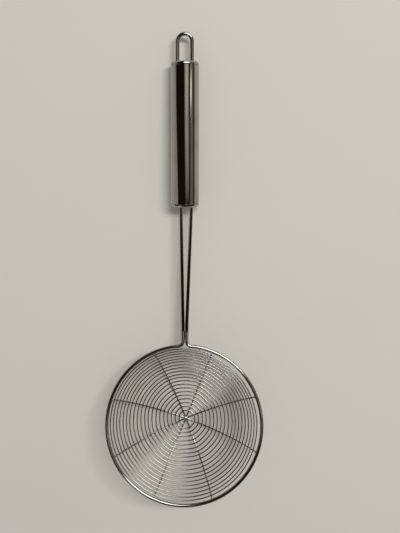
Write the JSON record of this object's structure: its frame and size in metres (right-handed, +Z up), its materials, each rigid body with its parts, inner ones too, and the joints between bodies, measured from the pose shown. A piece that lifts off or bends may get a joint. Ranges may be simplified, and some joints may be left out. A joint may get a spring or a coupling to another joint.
{
  "type": "wire skimmer",
  "caption": "Stainless steel wire skimmer: a round spiral-wound bowl on radial spokes, a bent wire frame, a hollow tube handle that rises from the rim and a hanging loop, for lifting food out of hot liquid.",
  "frame": {"origin": "on the table, under the middle of the whole skimmer's outline as it lies with the bowl opening upwards", "axes": "+Y from the bowl along the handle to the hanging loop, +Z up out of the bowl, +X to the right"},
  "size_m": [0.1418, 0.4174, 0.0548],
  "materials": {
    "handle_steel": "stainless steel tube, mirror polished, with fine lengthwise polishing lines",
    "frame_steel": "drawn stainless steel wire, bright polished",
    "mesh_steel": "thin drawn stainless steel wire, bright, with slight heat tint at its welds",
    "weld_steel": "pressed spot weld, slightly dull"
  },
  "bodies": {
    "root": {"handle_tube": "handle_steel", "lower_end_cap": "handle_steel", "upper_end_cap": "handle_steel", "hanging_loop": "frame_steel", "frame_wire": "frame_steel", "spiral_wire": "mesh_steel", "spoke_1": "mesh_steel", "spoke_2": "mesh_steel", "spoke_3": "mesh_steel", "spoke_4": "mesh_steel", "spoke_5": "mesh_steel", "spoke_6": "mesh_steel", "spoke_7": "mesh_steel", "spoke_8": "mesh_steel", "hub_weld": "weld_steel"}
  },
  "joints": []
}
